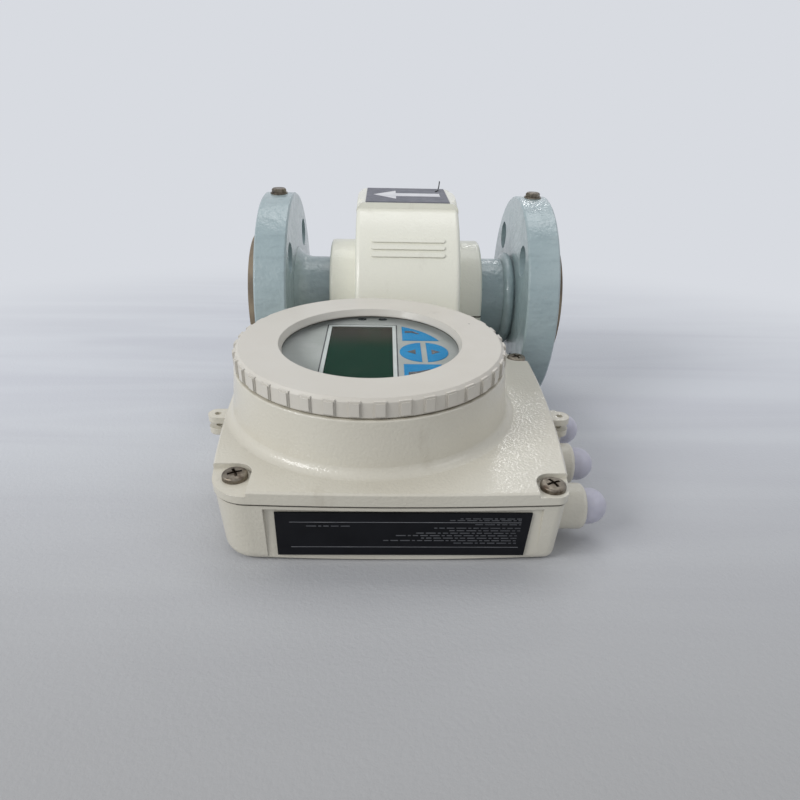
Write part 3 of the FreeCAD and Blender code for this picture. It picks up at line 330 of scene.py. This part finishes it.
# Each tone is followed by the slightly darker one that it mixes with, and by the roughness.
WHITE_INK = plastic("white_ink", srgb(228, 228, 230), srgb(214, 214, 218), 0.45)
RULE_INK = plastic("rule_ink", srgb(150, 152, 156), srgb(120, 122, 126), 0.45)
GREY_INK = plastic("grey_ink", srgb(92, 94, 98), srgb(70, 72, 76), 0.45)
PALE_INK = plastic("pale_ink", srgb(200, 206, 202), srgb(190, 197, 192), 0.4)
DARK_INK = plastic("dark_ink", srgb(44, 46, 48), srgb(34, 36, 40), 0.4)
SLOT_LOOKS = {
    "pipe_paint": pipe_paint(),
    "liner_rubber": liner_rubber(),
    "housing_paint": housing_paint("housing_paint", srgb(214, 210, 196), srgb(207, 202, 187), srgb(146, 134, 110),
                                   roughness=0.38, peel_size=1.3 * MM, peel_depth=0.2 * MM, coat=0.5),
    "cover_paint": housing_paint("cover_paint", srgb(212, 208, 198), srgb(206, 201, 190), srgb(136, 126, 108),
                                 roughness=0.42, peel_size=2.6 * MM, peel_depth=0.05 * MM, coat=0.2),
    "screw_steel": metal("screw_steel", srgb(132, 124, 112), srgb(66, 52, 42), 0.34, stain=0.8),
    "neck_metal": metal("neck_metal", srgb(196, 196, 194), srgb(150, 150, 148), 0.35),
    "electrode_steel": metal("electrode_steel", srgb(176, 174, 168), srgb(120, 112, 100), 0.25),
    "iron": metal("iron", srgb(92, 92, 94), srgb(60, 52, 46), 0.45),
    "winding": winding(),
    "sleeve_plastic": plastic("sleeve_plastic", srgb(232, 228, 214), srgb(222, 216, 200), 0.5),
    "seal_rubber": plastic("seal_rubber", srgb(88, 84, 76), srgb(72, 68, 60), 0.6, grain=0.8 * MM, depth=0.05 * MM),
    "plug_plastic": plastic("plug_plastic", srgb(198, 197, 209), srgb(184, 183, 196), 0.3, grain=0.8 * MM,
                            see_through=0.3),
    "arrow_foil": plastic("arrow_foil", srgb(108, 109, 118), srgb(98, 99, 108), 0.45, gloss=0.3),
    "plate_black": plastic("plate_black", srgb(16, 17, 21), srgb(22, 23, 27), 0.35, gloss=0.15),
    "window": window_glass(),
    "bezel_grey": plastic("bezel_grey", srgb(178, 182, 178), srgb(168, 173, 168), 0.45, gloss=0.0),
    "lcd_glass": lcd_glass(),
    "key_blue": plastic("key_blue", srgb(56, 144, 194), srgb(50, 134, 186), 0.45, gloss=0.0),
    "lamp_dark": plastic("lamp_dark", srgb(74, 82, 82), srgb(58, 66, 66), 0.25),
    "carrier_plastic": plastic("carrier_plastic", srgb(48, 48, 50), srgb(38, 38, 40), 0.55),
    "circuit_board": board_green(),
    "terminal_green": plastic("terminal_green", srgb(46, 140, 78), srgb(36, 120, 64), 0.4),
}

for part in frame["record"]["subparts"]:
    node = nodes[part["node"]]
    node.data.materials.clear()
    node.data.materials.append(SLOT_LOOKS[part["material_slot"]])


# ---- Pieces that only the look needs ------------------------------------------------------------
def add_piece(name, vertices, faces, material, body, slot):
    """A mesh piece that rides on a body."""
    mesh = bpy.data.meshes.new(name)
    mesh.from_pydata([tuple(v) for v in vertices], [], faces)
    mesh.materials.append(material)
    piece = bpy.data.objects.new(name, mesh)
    bpy.context.scene.collection.objects.link(piece)
    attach(piece, body)
    return piece


def prism(outlines, place, thickness):
    """Vertices and faces of flat shapes. place turns (u, v, height) into a point."""
    vertices, faces = [], []
    for outline in outlines:
        count, start = len(outline), len(vertices)
        vertices += [place(u, v, 0.0) for u, v in outline]
        vertices += [place(u, v, thickness) for u, v in outline]
        low, high = list(range(start, start + count)), list(range(start + count, start + 2 * count))
        faces.append(tuple(reversed(low)))
        faces.append(tuple(high))
        for i in range(count):
            j = (i + 1) % count
            faces.append((low[i], low[j], high[j], high[i]))
    return vertices, faces


def bar(u0, v0, u1, v1):
    """The outline of a rectangle."""
    return [(u0, v0), (u1, v0), (u1, v1), (u0, v1)]


INK = 0.06 * MM     # the thickness of print
ARROW_TIP, ARROW_BASE, ARROW_TAIL = -0.415, -0.134, 0.415     # along the flow plate, as shares of its width
ARROW_HEAD, ARROW_SHAFT = 0.29, 0.106                         # half widths, as shares of the plate's other side
STRIP_EDGE, LINE_EDGE = 1.9 * MM, 2.5 * MM     # how far the strip and the line round the panel reach out
KEY_MIDDLE = (26.7, -0.7)     # the middle of the round key pair, in millimetres from the cover's axis
KEY_MARKS = [     # millimetres from there: two arrowheads, and the marks on the far and the near field
    [(-8.6, 0), (-4.2, -3.0), (-4.2, 3.0)],
    [(8.2, 0), (3.8, 3.0), (3.8, -3.0)],
    [(-9.0, 25.6), (-5.6, 26.0), (-1.6, 23.8), (-1.4, 24.8), (-5.0, 28.4), (-9.0, 28.4)],
    [(-8.4, -27.8), (-3.0, -26.8), (2.4, -21.6), (1.6, -20.8), (-4.0, -23.4), (-8.4, -24.2)],
]
RULE_WIDTH = 0.25 * MM
RULE_ENDS, RULE_HEIGHTS = (0.055, 0.96), (0.79, 0.2)     # shares of the nameplate's width and height
DASH_ROWS = [(0.72, 0.96, 0.88), (0.68, 0.96, 0.84), (0.78, 0.96, 0.745), (0.12, 0.29, 0.7), (0.62, 0.96, 0.66),
             (0.68, 0.96, 0.6), (0.55, 0.95, 0.54), (0.47, 0.95, 0.48), (0.57, 0.95, 0.42), (0.42, 0.95, 0.36),
             (0.7, 0.95, 0.3)]     # start and end of each row and its height, as the same shares
DASH_SHORTEST, DASH_STEP, DASH_LENGTHS, DASH_GAP = 0.012, 0.009, 4, 0.008     # four lengths, a step apart
WIRE_RADIUS, WIRE_SIDES = 0.38 * MM, 8
WIRE_INSET = (4.2 * MM, 6.5 * MM)     # from the flow plate's far right corner to the wire's bend
WIRE_ACROSS = Vector((1, 0, 0.2))     # no step of the path runs along it
WIRE_PATH = ((-2.4, -7.0, 0.3), (-0.6, -2.4, 0.35), (0, 0, 0.6), (0.5, 0.9, 2.2), (0.9, 1.4, 5.8))     # millimetres


def flow_arrow():
    """The white arrow printed on the plate on top of the sensor."""
    middle = (plate_low + plate_high) / 2
    width, length = plate_high.x - plate_low.x, plate_high.y - plate_low.y
    tip, base, tail = ARROW_TIP * width, ARROW_BASE * width, ARROW_TAIL * width
    head, shaft = ARROW_HEAD * length, ARROW_SHAFT * length
    outline = [(tip, 0), (base, -head), (base, -shaft), (tail, -shaft), (tail, shaft), (base, shaft), (base, head)]
    place = lambda u, v, h: (middle.x + u, middle.y + v, plate_high.z + h)
    add_piece("flow_arrow", *prism([outline], place, INK), WHITE_INK, "sensor", "arrow_foil")


def nameplate_print():
    """Two rules and rows of short plain dashes on the front plate, with no lettering."""
    front = name_low.y
    width, height = name_high.x - name_low.x, name_high.z - name_low.z
    place = lambda u, v, h: (name_low.x + u * width, front - h, name_low.z + v * height)
    thin = RULE_WIDTH / height
    rules = [bar(RULE_ENDS[0], v - thin / 2, RULE_ENDS[1], v + thin / 2) for v in RULE_HEIGHTS]
    add_piece("nameplate_rules", *prism(rules, place, INK), RULE_INK, "head", "plate_black")
    dashes = []
    for number, (start, end, v) in enumerate(DASH_ROWS):
        step = number
        while start < end:
            length = min(DASH_SHORTEST + DASH_STEP * (step * 5 % DASH_LENGTHS), end - start)
            dashes.append(bar(start, v - thin, start + length, v + thin))
            start += length + DASH_GAP
            step += 1
    add_piece("nameplate_dashes", *prism(dashes, place, INK), GREY_INK, "head", "plate_black")


def display_print():
    """The pale strip and the dark line round the display, and the marks on the touch fields."""
    low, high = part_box("lcd_panel")
    place = lambda u, v, h: (u, v, bezel_top + h)

    def band(inner, outer):
        x0, y0, x1, y1 = low.x - outer, low.y - outer, high.x + outer, high.y + outer
        width = outer - inner
        return [bar(x0, y0, x1, y0 + width), bar(x0, y1 - width, x1, y1),
                bar(x0, y0 + width, x0 + width, y1 - width), bar(x1 - width, y0 + width, x1, y1 - width)]

    add_piece("display_strip", *prism(band(0.0, STRIP_EDGE), place, INK), PALE_INK, "head", "bezel_grey")
    add_piece("display_line", *prism(band(STRIP_EDGE, LINE_EDGE), place, INK), DARK_INK, "head", "bezel_grey")
    x, y = KEY_MIDDLE
    key_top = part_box("touch_keys")[1].z
    on_keys = lambda u, v, h: (cover_centre.x + (x + u) * MM, cover_centre.y + (y + v) * MM, key_top + h)
    add_piece("key_marks", *prism(KEY_MARKS, on_keys, INK), DARK_INK, "head", "key_blue")


def tag_wire():
    """The cut end of a tie wire that stands up beside the arrow."""
    foot = Vector((plate_high.x - WIRE_INSET[0], plate_high.y - WIRE_INSET[1], plate_high.z))
    path = [foot + Vector(step) * MM for step in WIRE_PATH]
    vertices, faces = [], []
    for number, spot in enumerate(path):
        ahead = (path[min(number + 1, len(path) - 1)] - path[max(number - 1, 0)]).normalized()
        across = ahead.cross(WIRE_ACROSS).normalized()
        other = ahead.cross(across)
        for side in range(WIRE_SIDES):
            turn = 2 * math.pi * side / WIRE_SIDES
            vertices.append(spot + WIRE_RADIUS * (math.cos(turn) * across + math.sin(turn) * other))
    for number in range(len(path) - 1):
        for side in range(WIRE_SIDES):
            a, b = number * WIRE_SIDES + side, number * WIRE_SIDES + (side + 1) % WIRE_SIDES
            faces.append((a, b, b + WIRE_SIDES, a + WIRE_SIDES))
    faces.append(tuple(reversed(range(WIRE_SIDES))))
    faces.append(tuple(range((len(path) - 1) * WIRE_SIDES, len(path) * WIRE_SIDES)))
    add_piece("tag_wire", vertices, faces, DARK_INK, "sensor", "arrow_foil")


flow_arrow()
nameplate_print()
display_print()
tag_wire()


# ---- Floor, lights and camera -------------------------------------------------------------------
FLOOR_TONE = srgb(218, 221, 226)
# Painted shade on the floor: it is darker towards the front, -Y.
FLOOR_NEAR_PAINTED_SHADE = srgb(164, 164, 163)
FLOOR_SHADE = srgb(203, 205, 212)
WORLD_TONE = srgb(216, 219, 225)
WORLD_LIGHT, WORLD_STRENGTH = srgb(236, 238, 244), 0.48
HALF_FLOOR = 12.0
PAINTED_SHADE_FULL, PAINTED_SHADE_END = -0.45, 0.05     # along the floor's Y, where its darker near tone is full and where it ends
FADE_CENTRE, FADE_START, FADE_END = (0, -0.08, 0), 0.24, 0.72     # the floor fades between these distances
LIGHT_TARGET = Vector((0, -0.1, 0))
LIGHTS = [     # azimuth and elevation in degrees, width and height and distance in metres, watts
    ("overhead", 8, 64, 1.0, 0.7, 1.5, 4.2),
    ("key", 238, 34, 0.8, 0.6, 1.8, 15.5),
    ("fill", 112, 38, 0.9, 0.6, 1.8, 2.4),
    ("glint", 13, 33, 0.2, 0.12, 1.8, 0.9),
]
CAMERA_PLACE = Vector((-0.0143, -0.4408, 0.1419))
CAMERA_FORWARD = Vector((0.02666, 0.85986, -0.50984))
CAMERA_RIGHT = Vector((0.99962, -0.01927, 0.01978))
LENS, SENSOR_WIDTH, SHIFT_UP, CLIP_START = 27.9, 36.0, 0.048, 10 * MM


def add_floor(tilt):
    """A wide pale floor under the meter, with painted shade on its near part. Far out it takes the world's own tone,
    so that no edge shows.
    """
    half = HALF_FLOOR
    mesh = bpy.data.meshes.new("floor")
    mesh.from_pydata([(-half, -half, 0), (half, -half, 0), (half, half, 0), (-half, half, 0)], [], [(0, 1, 2, 3)])
    floor = bpy.data.objects.new("floor", mesh)
    bpy.context.scene.collection.objects.link(floor)
    floor.matrix_world = Matrix.Rotation(-tilt, 4, "X") @ Matrix.Translation((0, 0, -rim_radius))
    p = Paint("floor")
    ripple = p.noise(60 * MM, 3, 0.5, 0.6, vector=p.stretched((0.12, 1.0, 1.0)))
    grain = p.noise(2.2 * MM, 3, 0.6)
    pale = p.mix(p.ramp(ripple, 0.32, 0.68, 0.0, 0.7), FLOOR_TONE, FLOOR_SHADE)
    # Painted shade: the floor darkens towards the front.
    p.set(Base_Color=p.mix(p.ramp(p.axis("Y"), PAINTED_SHADE_FULL, PAINTED_SHADE_END), FLOOR_NEAR_PAINTED_SHADE, pale), Roughness=0.7,
          Normal=p.bump(grain, 0.25 * MM))
    far = p.new("ShaderNodeEmission")
    far.inputs["Color"].default_value = (*WORLD_TONE, 1.0)
    away = p.new("ShaderNodeVectorMath", operation="DISTANCE")
    p.link(p.coord, away.inputs[0])
    away.inputs[1].default_value = FADE_CENTRE
    blend = p.new("ShaderNodeMixShader")
    p.link(p.ramp(away.outputs["Value"], FADE_START, FADE_END), blend.inputs[0])
    p.link(p.shader.outputs[0], blend.inputs[1])
    p.link(far.outputs[0], blend.inputs[2])
    p.link(blend.outputs[0], p.tree.nodes["Material Output"].inputs["Surface"])
    mesh.materials.append(p.material)


def add_world():
    """Soft light all round. The camera, mirrors and glass see the floor's far tone in its place."""
    world = bpy.data.worlds.new("world")
    world.use_nodes = True
    bpy.context.scene.world = world
    tree = world.node_tree
    background = tree.nodes["Background"]
    background.inputs["Color"].default_value = (*WORLD_LIGHT, 1.0)
    background.inputs["Strength"].default_value = WORLD_STRENGTH
    seen = tree.nodes.new("ShaderNodeBackground")
    seen.inputs["Color"].default_value = (*WORLD_TONE, 1.0)
    seen.inputs["Strength"].default_value = 1.0
    path = tree.nodes.new("ShaderNodeLightPath")
    mix = tree.nodes.new("ShaderNodeMixShader")
    shown = path.outputs["Is Camera Ray"]
    for kind in ("Is Glossy Ray", "Is Transmission Ray"):
        either = tree.nodes.new("ShaderNodeMath")
        either.operation = "MAXIMUM"
        tree.links.new(shown, either.inputs[0])
        tree.links.new(path.outputs[kind], either.inputs[1])
        shown = either.outputs[0]
    tree.links.new(shown, mix.inputs[0])
    tree.links.new(background.outputs[0], mix.inputs[1])
    tree.links.new(seen.outputs[0], mix.inputs[2])
    tree.links.new(mix.outputs[0], tree.nodes["World Output"].inputs["Surface"])


def add_light(name, azimuth, elevation, width, height, distance, power):
    """A white area light that looks at the meter's middle. Azimuth 0 is behind it, 90 on its right."""
    data = bpy.data.lights.new(name, "AREA")
    data.shape = "RECTANGLE"
    data.size, data.size_y, data.energy = width, height, power
    light = bpy.data.objects.new(name, data)
    bpy.context.scene.collection.objects.link(light)
    a, e = math.radians(azimuth), math.radians(elevation)
    away = Vector((math.sin(a) * math.cos(e), math.cos(a) * math.cos(e), math.sin(e)))
    turn = away.to_track_quat("Z", "Y").to_matrix().to_4x4()
    light.matrix_world = Matrix.Translation(LIGHT_TARGET + distance * away) @ turn


def add_camera():
    """The camera looks down over the display from the head's side."""
    up = CAMERA_RIGHT.cross(CAMERA_FORWARD)
    data = bpy.data.cameras.new("camera")
    data.lens, data.sensor_width, data.shift_y = LENS, SENSOR_WIDTH, SHIFT_UP
    data.clip_start = CLIP_START
    camera = bpy.data.objects.new("camera", data)
    bpy.context.scene.collection.objects.link(camera)
    turn = Matrix((CAMERA_RIGHT, up, -CAMERA_FORWARD)).transposed().to_4x4()
    camera.matrix_world = Matrix.Translation(CAMERA_PLACE) @ turn
    bpy.context.scene.camera = camera


add_floor(floor_tilt())
add_world()
for light_row in LIGHTS:
    add_light(*light_row)
add_camera()
bpy.context.scene.view_settings.view_transform = "Standard"
